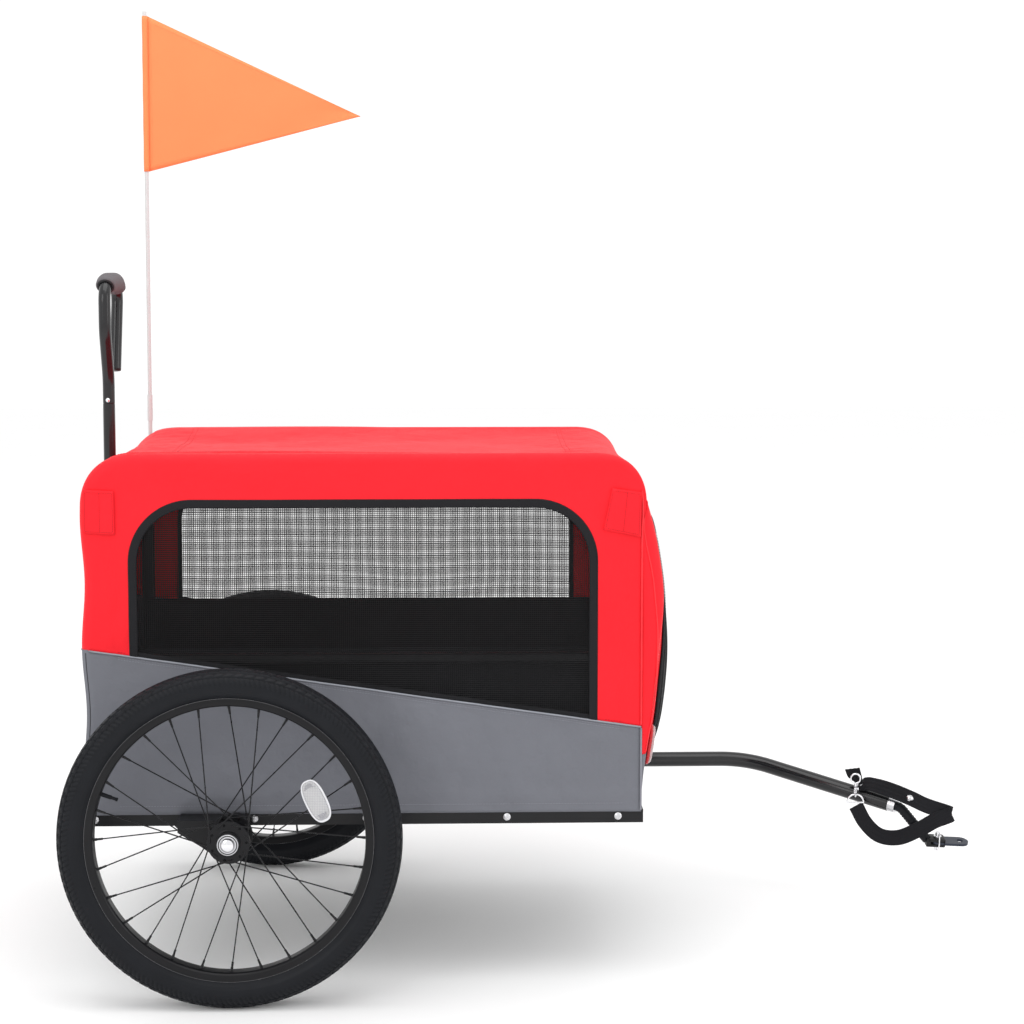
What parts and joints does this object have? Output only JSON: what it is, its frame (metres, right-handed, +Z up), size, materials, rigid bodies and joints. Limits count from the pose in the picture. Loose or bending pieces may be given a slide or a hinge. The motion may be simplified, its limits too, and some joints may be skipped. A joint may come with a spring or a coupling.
{
  "type": "bicycle trailer",
  "caption": "Two-wheeled fabric bicycle trailer with mesh windows, hitch arm with swivelling hitch plate, push handle and safety flag.",
  "frame": {"origin": "on the ground under the middle of the whole trailer's box", "axes": "+X is the direction of travel, +Y the left side, +Z up"},
  "size_m": [1.435, 0.776, 1.5069],
  "materials": {
    "frame_paint": "satin black powder coat",
    "floor_cloth": "black coated cloth over board",
    "screw_steel": "bright plated",
    "socket_plastic": "moulded black",
    "clamp_plastic": "moulded black",
    "red_cloth": "red coated polyester, plain weave",
    "roof_cloth": "red coated polyester, plain weave",
    "grey_cloth": "grey coated polyester, plain weave",
    "window_mesh": "black open net",
    "liner_cloth": "black lining",
    "red_lens": "clear lens over a red back",
    "rear_lens": "red lens",
    "clear_lens": "clear prismatic lens",
    "zip_metal": "black",
    "grip_foam": "grey foam",
    "bright_steel": "bright plated steel",
    "webbing": "black webbing",
    "plate_paint": "satin black",
    "neck_rubber": "black",
    "fibreglass": "white fibreglass rod",
    "orange_cloth": "orange vinyl cloth",
    "tyre_rubber": "black rubber",
    "rim_paint": "gloss black",
    "spoke_steel": "black steel wire",
    "hub_paint": "gloss black",
    "bearing_steel": "ground steel",
    "axle_steel": "machined steel",
    "button_steel": "bright chrome"
  },
  "bodies": {
    "chassis": {"base_frame": "frame_paint", "floor_panel": "floor_cloth", "side_hoop_left": "frame_paint", "side_hoop_right": "frame_paint", "cross_tubes": "frame_paint", "rail_screws": "screw_steel", "axle_bracket_left": "frame_paint", "axle_bracket_right": "frame_paint", "arm_bracket": "frame_paint", "arm_pivot_bolt": "screw_steel", "flag_socket": "socket_plastic", "handle_post": "frame_paint", "post_clamp": "clamp_plastic", "side_panel_left": "red_cloth", "side_panel_right": "red_cloth", "side_skirt_left": "grey_cloth", "side_skirt_right": "grey_cloth", "window_left": "window_mesh", "window_right": "window_mesh", "roof_panel": "roof_cloth", "rear_panel": "red_cloth", "front_surround": "red_cloth", "inner_liners": "liner_cloth", "corner_tabs": "red_cloth", "front_reflectors": "red_lens", "rear_reflectors": "rear_lens"},
    "front_door": {"front_door": "window_mesh", "zip_slider": "zip_metal"},
    "handle": {"handle_tube": "frame_paint", "foam_grip": "grip_foam"},
    "handle_button": {"handle_button": "bright_steel"},
    "hitch_arm": {"hitch_arm": "frame_paint", "arm_collar": "bright_steel", "safety_strap": "webbing", "strap_rivets": "screw_steel", "d_ring": "bright_steel", "snap_hook": "bright_steel"},
    "hitch_neck": {"hitch_neck": "neck_rubber"},
    "hitch_plate": {"hitch_plate": "plate_paint"},
    "hitch_pin": {"hitch_pin": "bright_steel"},
    "flag": {"flag_pole": "fibreglass", "pennant": "orange_cloth"},
    "wheel_left": {"tyre_left": "tyre_rubber", "rim_left": "rim_paint", "spokes_left": "spoke_steel", "hub_left": "hub_paint", "bearings_left": "bearing_steel", "spoke_reflector_left": "clear_lens"},
    "axle_left": {"axle_left": "axle_steel"},
    "axle_button_left": {"axle_button_left": "button_steel"},
    "wheel_right": {"tyre_right": "tyre_rubber", "rim_right": "rim_paint", "spokes_right": "spoke_steel", "hub_right": "hub_paint", "bearings_right": "bearing_steel", "spoke_reflector_right": "clear_lens"},
    "axle_right": {"axle_right": "axle_steel"},
    "axle_button_right": {"axle_button_right": "button_steel"},
    "hook_gate": {"hook_gate": "bright_steel"}
  },
  "joints": [
    {"name": "front_door_lift", "type": "hinge", "parent": "chassis", "child": "front_door", "pos_m": [0.15284, 0, 0.704], "axis": [0, -1, 0], "range_deg": [0, 95]},
    {"name": "handle_lift", "type": "slide", "parent": "chassis", "child": "handle", "axis": [0, 0, 1], "range_m": [0, 0.06]},
    {"name": "handle_button_press", "type": "slide", "parent": "chassis", "child": "handle_button", "axis": [0, 1, 0], "range_m": [0, 0.003], "stiffness_N_per_m": 400, "springref_m": -0.001},
    {"name": "hitch_arm_fold", "type": "hinge", "parent": "chassis", "child": "hitch_arm", "pos_m": [0.1045, 0.23, 0.218], "axis": [0, 0, 1], "range_deg": [-125, 0]},
    {"name": "hook_gate_open", "type": "hinge", "parent": "hitch_arm", "child": "hook_gate", "pos_m": [0.5325, 0.0818, 0.2025], "axis": [1, 0, 0], "range_deg": [0, 25], "stiffness_Nm_per_rad": 0.003, "springref_deg": -11.46},
    {"name": "hitch_neck_swivel", "type": "hinge", "parent": "hitch_arm", "child": "hitch_neck", "pos_m": [0.5895, 0.086, 0.175], "axis": [0.8281, -0.5371, -0.1604], "range_deg": [-40, 40], "deforming": ["safety_strap"]},
    {"name": "hitch_plate_pivot", "type": "hinge", "parent": "hitch_neck", "child": "hitch_plate", "pos_m": [0.6655, 0.062, 0.118], "axis": [0.0517, -0.1564, 0.9863], "range_deg": [-28, 28]},
    {"name": "hitch_pin_lift", "type": "slide", "parent": "hitch_neck", "child": "hitch_pin", "axis": [0.0517, -0.1564, 0.9863], "range_m": [0, 0.0024]},
    {"name": "flag_lift", "type": "slide", "parent": "chassis", "child": "flag", "axis": [0, 0, 1], "range_m": [0, 0.12]},
    {"name": "axle_left_release", "type": "slide", "parent": "chassis", "child": "axle_left", "axis": [0, 1, 0], "range_m": [0, 0.06]},
    {"name": "wheel_left_spin", "type": "hinge", "parent": "axle_left", "child": "wheel_left", "pos_m": [-0.4675, 0.35, 0.25], "axis": [0, 1, 0], "continuous": true},
    {"name": "axle_button_left_press", "type": "slide", "parent": "axle_left", "child": "axle_button_left", "axis": [0, -1, 0], "range_m": [0, 0.003], "stiffness_N_per_m": 500, "springref_m": -0.001},
    {"name": "axle_right_release", "type": "slide", "parent": "chassis", "child": "axle_right", "axis": [0, -1, 0], "range_m": [0, 0.06]},
    {"name": "wheel_right_spin", "type": "hinge", "parent": "axle_right", "child": "wheel_right", "pos_m": [-0.4675, -0.35, 0.25], "axis": [0, 1, 0], "continuous": true},
    {"name": "axle_button_right_press", "type": "slide", "parent": "axle_right", "child": "axle_button_right", "axis": [0, 1, 0], "range_m": [0, 0.003], "stiffness_N_per_m": 500, "springref_m": -0.001}
  ]
}
